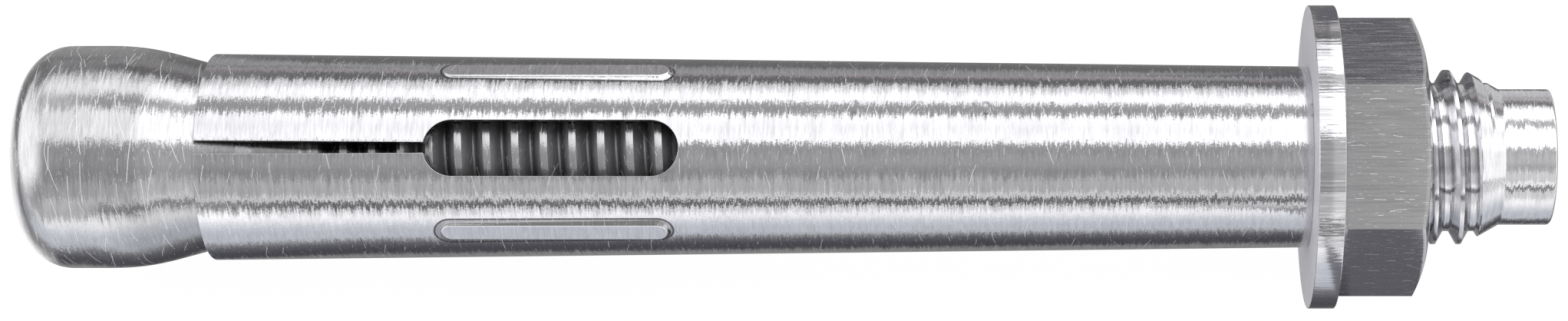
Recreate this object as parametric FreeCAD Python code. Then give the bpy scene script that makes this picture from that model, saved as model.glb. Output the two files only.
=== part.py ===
import FreeCAD, Part
import math
import os

# Sleeve anchor for a 16 mm hole: a bulb-ended stud, a slotted sleeve, a washer and a nut.
# The axis is X. The origin is on the axis, in the plane where the washer bears on the
# fixture, and +X points to the stud's dog point. Sizes are millimetres and degrees.

# Stud: the threaded end, outside the sleeve
thread_d = 12.0
thread_length = 10.73
point_angle = 29.5
dog_d = 9.32
dog_length = 3.5
dog_edge_radius = 0.2

# Stud: the shank and the bulb that spreads the sleeve
shank_d = 10.7
cone_angle = 15.1
bulb_d = 15.28
bulb_length = 7.97
bulb_edge_radius = 3.05
bulb_blend_radius = 16.6

# Sleeve: a tapered tube, wider at its slotted end
sleeve_length = 75.0
sleeve_d_at_washer = 12.45
sleeve_d_at_tip = 14.17
sleeve_clearance = 0.1
cone_seat_length = 3.6

# Windows and slits that part the sleeve into fingers
finger_count = 3
window_angle = 114.7
window_length = 17.08
window_width = 3.78
window_centre_from_washer = 51.17
slit_width_at_window = 0.72
slit_width_at_tip = 0.9

# Pads that stand on the fingers and grip the hole; angles count from the first window
pad_angles = (-52.5, 52.5, 180.0)
pad_top_length = 15.25
pad_top_width = 1.35
pad_top_height = 6.98
pad_depth = 1.0
pad_flare = 0.86

# Washer and nut
washer_d = 20.85
washer_thickness = 1.77
washer_bore_clearance = 0.075
washer_edge_break = 0.1
nut_across_flats = 16.6
nut_height = 5.97
nut_bore_clearance = 0.05
nut_chamfer_angle = 16.5
nut_face_d = 15.76
nut_countersink = 0.3

# How far a cutting tool runs past the face that it cuts
tool_overrun = 1.0

ORIGIN = FreeCAD.Vector(0, 0, 0)
AXIS = FreeCAD.Vector(1, 0, 0)
OUTWARD = FreeCAD.Vector(0, 1, 0)

cone_slope = math.tan(math.radians(cone_angle))
point_slope = math.tan(math.radians(point_angle))
shank_r = shank_d / 2
thread_r = thread_d / 2
dog_r = dog_d / 2
bulb_r = bulb_d / 2
sleeve_tip_x = -sleeve_length
cone_root_x = sleeve_tip_x + cone_seat_length
window_centre_x = -window_centre_from_washer


def straight(start, end):
    return Part.LineSegment(start, end).toShape()


def rounded_corner(before, corner, after, radius):
    """The arc that rounds a corner, and its two ends on the straight sides."""
    towards_before = (before - corner).normalize()
    towards_after = (after - corner).normalize()
    half_angle = towards_before.getAngle(towards_after) / 2
    bisector = (towards_before + towards_after).normalize()
    start = corner + towards_before * (radius / math.tan(half_angle))
    end = corner + towards_after * (radius / math.tan(half_angle))
    middle = corner + bisector * (radius / math.sin(half_angle) - radius)
    return start, Part.Arc(start, middle, end).toShape(), end


def turned(corners):
    """A solid turned about the axis from its half outline: (x, radius, corner rounding)."""
    points = [FreeCAD.Vector(x, 0, r) for x, r, rounding in corners]
    edges = []
    pen = points[0]
    for index in range(1, len(corners) + 1):
        corner = points[index % len(points)]
        rounding = corners[index % len(points)][2]
        if rounding == 0:
            edges.append(straight(pen, corner))
            pen = corner
            continue
        after = points[(index + 1) % len(points)]
        start, arc, end = rounded_corner(points[index - 1], corner, after, rounding)
        edges.append(straight(pen, start))
        edges.append(arc)
        pen = end
    face = Part.Face(Part.Wire(edges))
    return Part.Solid(face.revolve(ORIGIN, AXIS, 360))


def obround(centre_x, height, length, width):
    """A slot outline lying along the axis, at a height above it, facing outward."""
    half_run = (length - width) / 2
    r = width / 2
    left = centre_x - half_run
    right = centre_x + half_run

    def at(x, z):
        return FreeCAD.Vector(x, height, z)

    edges = [
        straight(at(left, -r), at(right, -r)),
        Part.Arc(at(right, -r), at(right + r, 0), at(right, r)).toShape(),
        straight(at(right, r), at(left, r)),
        Part.Arc(at(left, r), at(left - r, 0), at(left, -r)).toShape(),
    ]
    return Part.Wire(edges)


def turn_about_axis(shape, angle):
    copy = shape.copy()
    copy.rotate(ORIGIN, AXIS, angle)
    return copy


def stud():
    """Bulb, cone, shank, thread at its crests and dog point, formed from one bar."""
    cone_top_x = cone_root_x - (bulb_r - shank_r) / cone_slope
    bulb_end_x = cone_top_x - bulb_length
    point_end_x = thread_length + (thread_r - dog_r) / point_slope
    dog_end_x = point_end_x + dog_length
    return turned([
        (bulb_end_x, 0, 0),
        (bulb_end_x, bulb_r, bulb_edge_radius),
        (cone_top_x, bulb_r, bulb_blend_radius),
        (cone_root_x, shank_r, 0),
        (0, shank_r, 0),
        (0, thread_r, 0),
        (thread_length, thread_r, 0),
        (point_end_x, dog_r, 0),
        (dog_end_x, dog_r, dog_edge_radius),
        (dog_end_x, 0, 0),
    ])


def sleeve_tube():
    """The tapered tube, bored to the shank and opened at its tip to sit on the cone."""
    bore_r = shank_r + sleeve_clearance
    return turned([
        (sleeve_tip_x, bore_r + cone_seat_length * cone_slope, 0),
        (sleeve_tip_x, sleeve_d_at_tip / 2, 0),
        (0, sleeve_d_at_washer / 2, 0),
        (0, bore_r, 0),
        (cone_root_x, bore_r, 0),
    ])


def window_tool():
    """Cuts one window and the slit that runs from it to the sleeve's tip."""
    reach = FreeCAD.Vector(0, sleeve_d_at_tip / 2 + tool_overrun, 0)
    outline = obround(window_centre_x, 0, window_length, window_width)
    window = Part.Face(outline).extrude(reach)

    slit_start_x = window_centre_x - (window_length - window_width) / 2
    slit_end_x = sleeve_tip_x - tool_overrun
    window_end_x = window_centre_x - window_length / 2
    widening = (slit_width_at_tip - slit_width_at_window) / (window_end_x - sleeve_tip_x)
    start_half = (slit_width_at_window - widening * (slit_start_x - window_end_x)) / 2
    end_half = (slit_width_at_tip + widening * tool_overrun) / 2
    corners = [
        FreeCAD.Vector(slit_start_x, 0, -start_half),
        FreeCAD.Vector(slit_start_x, 0, start_half),
        FreeCAD.Vector(slit_end_x, 0, end_half),
        FreeCAD.Vector(slit_end_x, 0, -end_half),
    ]
    slit = Part.Face(Part.makePolygon(corners + corners[:1])).extrude(reach)
    return window.fuse(slit)


def pad():
    """A flat-topped pad with flared sides, parallel to the axis although the tube tapers."""
    top = obround(window_centre_x, pad_top_height, pad_top_length, pad_top_width)
    foot = obround(window_centre_x, pad_top_height - pad_depth,
                   pad_top_length + 2 * pad_flare, pad_top_width + 2 * pad_flare)
    return Part.makeLoft([foot, top], True, True)


def sleeve():
    body = sleeve_tube()
    pads = [turn_about_axis(pad(), window_angle + angle) for angle in pad_angles]
    body = body.fuse(pads)
    step = 360 / finger_count
    cuts = [turn_about_axis(window_tool(), window_angle + step * i) for i in range(finger_count)]
    return body.cut(cuts).removeSplitter()


def washer():
    bore_r = thread_r + washer_bore_clearance
    rim_r = washer_d / 2
    edge = washer_edge_break
    return turned([
        (0, bore_r, 0),
        (0, rim_r - edge, 0),
        (edge, rim_r, 0),
        (washer_thickness - edge, rim_r, 0),
        (washer_thickness, rim_r - edge, 0),
        (washer_thickness, bore_r, 0),
    ])


def hexagon(x, across_flats):
    """A hexagon across the axis with two corners straight above and below it."""
    corner_r = across_flats / math.sqrt(3)
    corners = []
    for index in range(6):
        angle = math.radians(90 + 60 * index)
        corners.append(FreeCAD.Vector(x, corner_r * math.cos(angle), corner_r * math.sin(angle)))
    return Part.Face(Part.makePolygon(corners + corners[:1]))


def nut():
    """A hexagon nut, chamfered on its outer end, with its thread at the bore's wall."""
    near_x = washer_thickness
    far_x = near_x + nut_height
    prism = hexagon(near_x, nut_across_flats).extrude(AXIS * nut_height)
    cone_r = nut_across_flats
    drop = (cone_r - nut_face_d / 2) * math.tan(math.radians(nut_chamfer_angle))
    blank = turned([
        (near_x, 0, 0),
        (near_x, cone_r, 0),
        (far_x - drop, cone_r, 0),
        (far_x, nut_face_d / 2, 0),
        (far_x, 0, 0),
    ])
    bore_r = thread_r + nut_bore_clearance
    sink = nut_countersink
    bore = turned([
        (near_x - tool_overrun, 0, 0),
        (near_x - tool_overrun, bore_r + sink + tool_overrun, 0),
        (near_x + sink, bore_r, 0),
        (far_x - sink, bore_r, 0),
        (far_x + tool_overrun, bore_r + sink + tool_overrun, 0),
        (far_x + tool_overrun, 0, 0),
    ])
    return prism.common(blank).cut(bore)


def main():
    os.makedirs("parts", exist_ok=True)
    pieces = {
        "stud": stud(),
        "expansion_sleeve": sleeve(),
        "washer": washer(),
        "hex_nut": nut(),
    }
    for name, shape in pieces.items():
        box = shape.BoundBox
        print(name, "valid", shape.isValid(), "solids", len(shape.Solids),
              "volume", round(shape.Volume, 2),
              "x", round(box.XMin, 3), round(box.XMax, 3),
              "z", round(box.ZMin, 3), round(box.ZMax, 3))
        shape.exportStep("parts/" + name + ".step")


main()
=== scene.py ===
# %% [markdown]
# # A sleeve anchor, piece by piece
#
# This notebook dresses a masonry fixing: a bulb-ended stud inside a long slotted sleeve, with a
# washer and a nut on its threaded end. The measured model is loaded first and fixes every size.
# Each piece here is then a finer mesh with the threads, the broken edges and the bright zinc
# finish that the plain solids leave out. Lengths are in metres, the axis is X, and Z is up.

# %% Load the measured model
import bmesh
import bpy
import math
import numpy as np
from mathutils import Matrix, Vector
from mathutils.geometry import delaunay_2d_cdt
from types import SimpleNamespace


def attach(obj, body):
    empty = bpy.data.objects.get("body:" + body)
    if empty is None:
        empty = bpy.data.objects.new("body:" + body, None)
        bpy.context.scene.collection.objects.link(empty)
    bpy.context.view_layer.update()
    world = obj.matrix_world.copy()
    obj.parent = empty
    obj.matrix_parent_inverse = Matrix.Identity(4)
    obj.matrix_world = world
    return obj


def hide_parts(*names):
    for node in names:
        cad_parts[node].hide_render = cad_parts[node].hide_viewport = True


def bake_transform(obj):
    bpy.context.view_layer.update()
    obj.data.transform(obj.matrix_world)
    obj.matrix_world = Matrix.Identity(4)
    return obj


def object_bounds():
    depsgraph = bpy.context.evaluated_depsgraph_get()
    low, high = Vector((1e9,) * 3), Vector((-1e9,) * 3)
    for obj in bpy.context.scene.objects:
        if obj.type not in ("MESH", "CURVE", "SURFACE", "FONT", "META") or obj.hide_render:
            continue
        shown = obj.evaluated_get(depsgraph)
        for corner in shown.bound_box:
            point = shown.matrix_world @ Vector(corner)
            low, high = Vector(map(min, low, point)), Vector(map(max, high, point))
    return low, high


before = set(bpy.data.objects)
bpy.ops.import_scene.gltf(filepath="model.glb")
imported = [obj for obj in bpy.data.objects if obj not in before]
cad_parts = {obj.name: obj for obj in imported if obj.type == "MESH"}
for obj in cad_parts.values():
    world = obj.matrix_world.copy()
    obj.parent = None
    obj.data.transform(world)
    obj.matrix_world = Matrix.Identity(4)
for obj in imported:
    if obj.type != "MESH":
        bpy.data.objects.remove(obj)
cad_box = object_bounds()
mm = 0.001

# %% [markdown]
# ## The camera
#
# The anchor lies on its side and is seen from above and in front, 60 degrees up, in a wide crop.
# Its ends show a little perspective, so the camera stands close, at 236 mm. The picture is
# centred elsewhere than the lens, which the camera's shift takes care of. A turned camera would
# also frame it, but then the long parallel lines would run together.

# %% Camera
picture_width = 2043
picture_height = 418
pixels_per_mm = 18.92
lens_centre = (1345.4, 204.4)
axis_distance = 236 * mm
camera_x = -18.9 * mm
elevation = math.radians(60)

camera_data = bpy.data.cameras.new("camera")
camera = bpy.data.objects.new("camera", camera_data)
bpy.context.scene.collection.objects.link(camera)
camera.location = (camera_x, -axis_distance * math.cos(elevation),
                   axis_distance * math.sin(elevation))
camera.rotation_euler = (math.pi / 2 - elevation, 0, 0)
camera_data.sensor_width = 36
camera_data.lens = 36 * axis_distance / mm * pixels_per_mm / picture_width
camera_data.shift_x = (picture_width / 2 - lens_centre[0]) / picture_width
camera_data.shift_y = (lens_centre[1] - picture_height / 2) / picture_width
camera_data.clip_start = 0.01
camera_data.clip_end = 20
bpy.context.scene.camera = camera
print("lens", round(camera_data.lens, 2), "shift", round(camera_data.shift_x, 4),
      round(camera_data.shift_y, 5))

# %% [markdown]
# ## The studio
#
# Bright zinc shows little colour of its own: what we see in it is the room. A round bar squeezes
# the whole room into bands along its length, so the room is made of long strips that run the way
# the anchor does. A sky whose brightness depends only on the height above the horizon gives those
# strips with no seams, and it is easier to tune than a ring of lamps. The heights are in degrees,
# from 0 at the horizon in front, over 90 straight up, to 180 at the horizon behind.
#
# A few short helpers come first, because every tree of nodes below is written as plain sums.

# %% Helpers that add nodes in a row
def node(tree, kind, inputs=None, **settings):
    made = tree.nodes.new(kind)
    for name, value in settings.items():
        setattr(made, name, value)
    for key, value in (inputs or {}).items():
        if isinstance(value, bpy.types.NodeSocket):
            tree.links.new(value, made.inputs[key])
        else:
            made.inputs[key].default_value = value
    return made


def maths(tree, operation, a, b=None, c=None, clamp=False):
    made = node(tree, "ShaderNodeMath", operation=operation, use_clamp=clamp)
    for index, value in enumerate((a, b, c)):
        if isinstance(value, bpy.types.NodeSocket):
            tree.links.new(value, made.inputs[index])
        elif value is not None:
            made.inputs[index].default_value = value
    return made.outputs[0]


def times(tree, first, *others):
    for other in others:
        first = maths(tree, "MULTIPLY", first, other)
    return first


def distance_from(tree, value, middle):
    return maths(tree, "ABSOLUTE", maths(tree, "SUBTRACT", value, middle))


def faded(tree, value, start, end, first, last):
    """Goes from first to last while the value goes from start to end."""
    return node(tree, "ShaderNodeMapRange", {"Value": value, "From Min": start, "From Max": end,
                                             "To Min": first, "To Max": last}).outputs[0]


def band(tree, value, rise, fall, top=1.0):
    """A mask that grows to the top over the rise, given as (start, end), and ends at the fall."""
    return times(tree, faded(tree, value, *rise, 0.0, top), faded(tree, value, *fall, 1.0, 0.0))


# %% Helpers for vectors and colours
def vectors(tree, operation, a, b, output=0):
    return node(tree, "ShaderNodeVectorMath", {0: a, 1: b}, operation=operation).outputs[output]


def dot(tree, vector, direction):
    return vectors(tree, "DOT_PRODUCT", vector, direction, "Value")


def at_least(tree, colour, limit):
    return vectors(tree, "MAXIMUM", colour, limit)


def scaled(tree, colour, factor):
    return node(tree, "ShaderNodeVectorMath", {0: colour, "Scale": factor},
                operation="SCALE").outputs[0]


def painted(tree, base, colour, share):
    """Lays a colour, given as (red, green, blue), over the base in that share."""
    return node(tree, "ShaderNodeMix", {0: share, 6: base, 7: (*colour, 1)},
                data_type="RGBA").outputs[2]


# %% Ramps of light
brightest = 2.0


def as_light(*parts):
    """A ramp holds no colour above 1, so each brightness is divided by the brightest one, and
    the light's own strength makes it up."""
    return tuple(part / brightest for part in parts)


def fill_ramp(ramp_node, stops, low, high):
    """Puts stops, given as (place, brightness), on a ramp that runs from low to high."""
    ramp = ramp_node.color_ramp
    while len(ramp.elements) > 1:
        ramp.elements.remove(ramp.elements[-1])
    for index, (place, value) in enumerate(stops):
        where = (place - low) / (high - low)
        if index:
            element = ramp.elements.new(where)
        else:
            element = ramp.elements[0]
            element.position = where
        colour = value if isinstance(value, tuple) else (value, value, value)
        element.color = (*as_light(*colour), 1)


# %% The sky: strips of light by their height above the horizon
sky_end = 200
sky_strips = [
    (0, 0.62), (0.4, 0.13), (3.5, 0.16), (8.2, 0.15), (9.6, 0.98),
    (14, 0.95), (17, 0.60), (32, 0.62), (36, 0.45), (44, 0.37), (50, 0.47), (58, 0.49),
    (70, 0.40), (75, 0.48), (78, 1.62), (95, 1.40), (109, 1.62), (113, 0.52),
    (119, 0.42), (126, 0.50), (130, 1.6), (142, 1.55), (147, 1.15), (156, 0.82), (159, 0.20),
    (170, 0.17), (173, (0.46, 0.41, 0.41)), (177, 0.44), (188, 0.38), (192, 0.28),
]
world = bpy.data.worlds.new("studio")
bpy.context.scene.world = world
world.use_nodes = True
sky = world.node_tree
sky.nodes.clear()
look = node(sky, "ShaderNodeTexCoord").outputs["Generated"]
look_x, look_y, look_z = node(sky, "ShaderNodeSeparateXYZ", {0: look}).outputs
height = maths(sky, "DEGREES", maths(sky, "ARCTAN2", look_z, times(sky, look_y, -1)))
below_behind = maths(sky, "LESS_THAN", height, -90)
height = maths(sky, "MULTIPLY_ADD", below_behind, 360, height)
sky_ramp = node(sky, "ShaderNodeValToRGB", {0: maths(sky, "DIVIDE", height, sky_end)})
fill_ramp(sky_ramp, sky_strips, 0, sky_end)
strips = sky_ramp.outputs[0]
print("sky strips", len(sky_strips))

# %% [markdown]
# Strips alone would light the whole length alike. A real room differs a little from end to end,
# so the strips are paler or dimmer towards the nose and brighter beyond the nut. In the sky that
# is a matter of look_x: how far the reflected line of sight leans towards the anchor's ends.
#
# All these numbers, and those of the floor below, were tuned by trial for the main view. From
# another side the metal mirrors other parts of the room, and the bands are only plausible.

# %% How the room changes from end to end
low_behind = maths(sky, "GREATER_THAN", height, 158)
low_in_front = maths(sky, "LESS_THAN", height, 9.5)
overhead = maths(sky, "LESS_THAN", distance_from(sky, height, 120), 9)
for zone, start, end, brightness in ((low_behind, -0.23, -0.165, 0.36),
                                     (low_in_front, -0.25, -0.195, 0.95),
                                     (overhead, -0.29, -0.25, 1.0)):
    paler = times(sky, faded(sky, look_x, start, end, brightness / brightest, 0.0), zone)
    strips = at_least(sky, strips, paler)

# the nut is seen against a dark wall, low behind it
nut_side = times(sky, band(sky, look_x, (0.0850, 0.0895), (0.1125, 0.1155)),
                 faded(sky, height, 146, 156, 0.0, 0.95))
strips = painted(sky, strips, as_light(0.225, 0.22, 0.24), nut_side)

# all is brighter beyond the nut, and dimmer towards the nose in two steps
for start, end, first, last in ((0.1125, 0.124, 1.0, 1.5),
                                (-0.25, -0.18, 0.84, 1.0),
                                (-0.52, -0.36, 0.70, 1.0)):
    strips = scaled(sky, strips, faded(sky, look_x, start, end, first, last))

# %% A soft panel beyond each end lights the bulb's nose and the chamfer
up_in_picture = (0, 0.866, 0.5)
out_of_picture = (0, -0.5, 0.866)
panel_light = as_light(1.5, 1.5, 1.5)
tall = dot(sky, look, up_in_picture)
nose_panel = times(sky, faded(sky, look_x, -0.62, -0.34, 1.0, 0.0),
                   faded(sky, distance_from(sky, tall, 0.12), 0.36, 0.64, 1.0, 0.0))
end_panel = times(sky, faded(sky, look_x, 0.66, 0.76, 0.0, 0.86),
                  faded(sky, dot(sky, look, out_of_picture), -0.05, 0.10, 0.0, 1.0))
# a gap in the end panel draws the dark line across the chamfer
gap = band(sky, tall, (-0.54, -0.50), (-0.43, -0.38))
end_panel = times(sky, end_panel, maths(sky, "MULTIPLY_ADD", gap, -0.8, 1.0))
lit = painted(sky, strips, panel_light, maths(sky, "MAXIMUM", nose_panel, end_panel))

# the picture's own background is plain white
seen = node(sky, "ShaderNodeLightPath").outputs["Is Camera Ray"]
sky_light = node(sky, "ShaderNodeBackground", {"Color": lit, "Strength": brightest})
sky_white = node(sky, "ShaderNodeBackground", {"Color": (1, 1, 1, 1), "Strength": 1.0})
chosen = node(sky, "ShaderNodeMixShader", {0: seen, 1: sky_light.outputs[0],
                                           2: sky_white.outputs[0]})
node(sky, "ShaderNodeOutputWorld", {0: chosen.outputs[0]})
bpy.context.scene.view_settings.view_transform = "Standard"
print("nodes in the sky", len(sky.nodes))

# %% [markdown]
# ## The floor
#
# The anchor rests on a plain pale table. To the camera it is white with a faint shadow. Metal sees
# it too: pale in front, and dark close to the anchor, where the anchor's own shadow lies. That
# dark strip is what draws the dark band along the lower side of the sleeve. Like the sky, the
# table differs a little from end to end.

# %% Floor
floor_z = cad_box[0][2]
floor_reach = 1.5
floor_mesh = bpy.data.meshes.new("floor")
floor_mesh.from_pydata([(-floor_reach, -floor_reach, floor_z), (floor_reach, -floor_reach, floor_z),
                        (floor_reach, floor_reach, floor_z), (-floor_reach, floor_reach, floor_z)],
                       [], [(0, 1, 2, 3)])
floor = bpy.data.objects.new("floor", floor_mesh)
bpy.context.scene.collection.objects.link(floor)
print("floor at", round(floor_z / mm, 3), "mm")

# %% The table's shades, by the distance in mm behind the anchor's axis
shades_reach = 120
floor_shades = [
    (-118, 0.95), (-72, 1.38), (-52, 1.25), (-40, (0.96, 0.99, 1.03)),
    (-32, (0.80, 0.83, 0.88)), (-26, (0.71, 0.74, 0.79)), (-19, (0.70, 0.73, 0.78)),
    (-16.7, 0.36),
    (-14.7, (0.17, 0.17, 0.195)), (-11, (0.082, 0.082, 0.094)), (-8.5, (0.085, 0.085, 0.095)),
    (-7, 0.28),
    (6, 0.28), (12, 0.24), (30, 0.19), (50, 0.18), (90, 0.31), (100, 0.38),
]
paint = bpy.data.materials.new("pale_table")
paint.use_nodes = True
table = paint.node_tree
table.nodes.clear()
spot = node(table, "ShaderNodeTexCoord").outputs["Object"]
spot_x, spot_y, _ = node(table, "ShaderNodeSeparateXYZ", {0: spot}).outputs

# the shadow's front edge draws back under the sleeve's tip, and the shadow is narrow beyond
# the nut
draw_back = 3.5 * mm
slant = maths(table, "SUBTRACT", faded(table, spot_x, -79 * mm, -66 * mm, draw_back, 0.0),
              faded(table, spot_x, -86 * mm, -81 * mm, draw_back, 0.0))
in_front = maths(table, "LESS_THAN", spot_y, 0.0)
from_axis = maths(table, "SUBTRACT", spot_y, times(table, slant, in_front))
from_axis = times(table, from_axis, faded(table, spot_x, 9 * mm, 12 * mm, 1.0, 2.2))
place = maths(table, "MULTIPLY_ADD", from_axis, 1 / (2 * shades_reach * mm), 0.5)
table_ramp = node(table, "ShaderNodeValToRGB", {0: place})
fill_ramp(table_ramp, floor_shades, -shades_reach, shades_reach)
shades = table_ramp.outputs[0]
print("table shades", len(floor_shades))

# %% How the table changes from end to end
# the far side is paler at both ends, but not where the nut mirrors it: a slanting line on the
# table parts what the nut mirrors from what the dog point mirrors
past_nut = maths(table, "GREATER_THAN", maths(table, "MULTIPLY_ADD", spot_y, -0.125, spot_x),
                 10 * mm)
far_side = maths(table, "LESS_THAN", distance_from(table, spot_y, 120 * mm), 98 * mm)
off_nut = maths(table, "MAXIMUM", maths(table, "LESS_THAN", spot_y, 40 * mm),
                maths(table, "MAXIMUM", past_nut, maths(table, "LESS_THAN", spot_x, 0.0)))
at_ends = maths(table, "MAXIMUM",
                faded(table, spot_x, -84 * mm, -70 * mm, 0.34 / brightest, 0.0),
                faded(table, spot_x, 12 * mm, 15 * mm, 0.0, 0.72 / brightest))
paler = maths(table, "MAXIMUM", times(table, at_ends, far_side, off_nut),
              faded(table, spot_x, 20 * mm, 24 * mm, 0.0, 0.40 / brightest))
shades = at_least(table, shades, paler)

# a bright patch beyond the nose lights its edge, and the near side is brighter under the bulb
at_nose = times(table, faded(table, spot_x, -90.5 * mm, -87.5 * mm, 1.0, 0.0),
                faded(table, distance_from(table, spot_y, 5 * mm), 9 * mm, 16 * mm,
                      1.1 / brightest, 0.32 / brightest))
shades = at_least(table, shades, at_nose)
for start, end, first, last in ((-86, -80, 1.12, 1.0), (-125, -105, 0.6, 1.0)):
    shades = scaled(table, shades, faded(table, spot_x, start * mm, end * mm, first, last))

# painted shade on the table, seen only by the metal: under the nut, and far behind it
under_nut = band(table, spot_x, (3.3 * mm, 3.6 * mm), (8.5 * mm, 9.5 * mm), 0.95)
behind_nut = times(table, faded(table, spot_x, 3 * mm, 6 * mm, 0.0, 0.95),
                   maths(table, "GREATER_THAN", spot_y, 40 * mm),
                   maths(table, "SUBTRACT", 1.0, past_nut))
shades = painted(table, shades, as_light(0.165, 0.165, 0.185),
                 maths(table, "MAXIMUM", under_nut, behind_nut))
print("nodes in the table's shades", len(table.nodes))

# %% White paper to the camera, and the shades to the metal
# to the metal the table is a glow with its light and shade painted in, not lit paper
to_metal = node(table, "ShaderNodeEmission", {"Color": shades, "Strength": brightest})
paper = node(table, "ShaderNodeBsdfDiffuse", {"Color": (0.06, 0.06, 0.06, 1)})
glow = node(table, "ShaderNodeEmission", {"Color": (1, 1, 1, 1), "Strength": 0.965})
to_camera = node(table, "ShaderNodeAddShader", {0: paper.outputs[0], 1: glow.outputs[0]})
path = node(table, "ShaderNodeLightPath")
mirrored = maths(table, "MAXIMUM", path.outputs["Is Glossy Ray"],
                 path.outputs["Is Transmission Ray"])
mixed = node(table, "ShaderNodeMixShader", {0: mirrored, 1: to_camera.outputs[0],
                                            2: to_metal.outputs[0]})
node(table, "ShaderNodeOutputMaterial", {0: mixed.outputs[0]})
floor_mesh.materials.append(paint)

# %% [markdown]
# ## Bright zinc
#
# The pieces are steel with a thin bright coat of zinc. Turning and drawing left fine marks: they
# run round the stud and the sleeve, and along the nut's flats and the washer's rim. Across such
# marks a reflection smears, along them it stays sharp, and each mark shifts it a little, which
# gives the bands their ragged edges. A bump map would need very deep grooves to do that, so the
# surface's normal is tilted directly, by noise that is stretched along the marks.
#
# Scuffs are short lines with a slight bow. Each cell of a Voronoi pattern holds one, turned by
# the cell's own random number. A few layers of them, from coarse to fine, make a worn surface.

# %% The scuff pattern as a group of nodes
scuff_sizes = ("Cells per metre", "Width", "Length", "Share", "Lean", "Spread")


def scuff_group():
    group = bpy.data.node_groups.new("scuffs", "ShaderNodeTree")
    group.interface.new_socket("Where", in_out="INPUT", socket_type="NodeSocketVector")
    for name in scuff_sizes:
        group.interface.new_socket(name, in_out="INPUT", socket_type="NodeSocketFloat")
    group.interface.new_socket("Scuff", in_out="OUTPUT", socket_type="NodeSocketFloat")
    given = node(group, "NodeGroupInput").outputs
    scale = given["Cells per metre"]
    cells = node(group, "ShaderNodeTexVoronoi", {"Vector": given["Where"], "Scale": scale},
                 voronoi_dimensions="2D")
    offset = vectors(group, "SUBTRACT", scaled(group, given["Where"], scale),
                     scaled(group, cells.outputs["Position"], scale))
    x, y, _ = node(group, "ShaderNodeSeparateXYZ", {0: offset}).outputs
    chance, turn, size = node(group, "ShaderNodeSeparateColor",
                              {0: cells.outputs["Color"]}).outputs
    angle = maths(group, "MULTIPLY_ADD", maths(group, "SUBTRACT", turn, 0.5), given["Spread"],
                  given["Lean"])
    cosine = maths(group, "COSINE", angle)
    sine = maths(group, "SINE", angle)
    along = maths(group, "ADD", times(group, x, cosine), times(group, y, sine))
    beside = maths(group, "SUBTRACT", times(group, y, cosine), times(group, x, sine))
    bow = times(group, along, along, maths(group, "MULTIPLY_ADD", size, 0.3, -0.15))
    beside = maths(group, "ABSOLUTE", maths(group, "ADD", beside, bow))
    thin = maths(group, "LESS_THAN", beside, given["Width"])
    half_length = times(group, given["Length"], maths(group, "ADD", size, 0.3))
    short = maths(group, "LESS_THAN", maths(group, "ABSOLUTE", along), half_length)
    there = maths(group, "LESS_THAN", chance, given["Share"])
    node(group, "NodeGroupOutput", {"Scuff": times(group, thin, short, there)})
    return group


scuffs = scuff_group()


# %% Several layers of scuffs
def scuff_layers(tree, unrolled, layers):
    """The strongest of several layers, each given by its scuff_sizes and its strength."""
    strongest = 0.0
    for *sizes, strength in layers:
        layer = node(tree, "ShaderNodeGroup", {"Where": unrolled, **dict(zip(scuff_sizes, sizes))},
                     node_tree=scuffs)
        strongest = maths(tree, "MAXIMUM", strongest, times(tree, layer.outputs[0], strength))
    return strongest


# %% Sizes of the anchor that its finish and its shape share, in mm and degrees
sleeve_length = 75.0
washer_end_r = 12.45 / 2
tip_r = 14.17 / 2
window_angle = 114.7
window_middle = -51.17
pad_turns = (-52.5, 52.5, 180.0)
pad_half_run = (15.25 - 1.35) / 2
pad_top_half = 1.35 / 2
unroll_r = 6.8

# %% [markdown]
# Some marks belong to one place: painted shade at the pads' feet, in the sleeve's bore and in
# the inner thread, a painted highlight on the pads' rims, and the nicks along the sleeve. Each
# is a mask, a number from 0 to 1 at every point, worked out from how far the point lies from
# that place. The masks then mix colours and add roughness.

# %% What each mask asks of a point: its place, its distance from the axis, its angle round it
bulb_zone_end = -72.5
sleeve_inside_end = -0.4


def surface(tree):
    here = node(tree, "ShaderNodeTexCoord").outputs["Object"]
    normal = node(tree, "ShaderNodeNewGeometry").outputs["Normal"]
    x, y, z = node(tree, "ShaderNodeSeparateXYZ", {0: here}).outputs
    radius = maths(tree, "SQRT", maths(tree, "ADD", times(tree, y, y), times(tree, z, z)))
    angle = maths(tree, "ARCTAN2", y, z)
    unrolled = node(tree, "ShaderNodeCombineXYZ",
                    {0: x, 1: times(tree, angle, unroll_r * mm), 2: radius}).outputs[0]
    cloud = node(tree, "ShaderNodeTexNoise", {"Vector": here, "Scale": 260.0, "Detail": 4.0})
    return SimpleNamespace(here=here, normal=normal, x=x, z=z, radius=radius, angle=angle,
                           unrolled=unrolled, cloud=cloud.outputs[0],
                           on_bulb=maths(tree, "LESS_THAN", x, bulb_zone_end * mm),
                           inside=maths(tree, "LESS_THAN", x, sleeve_inside_end * mm))


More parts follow.
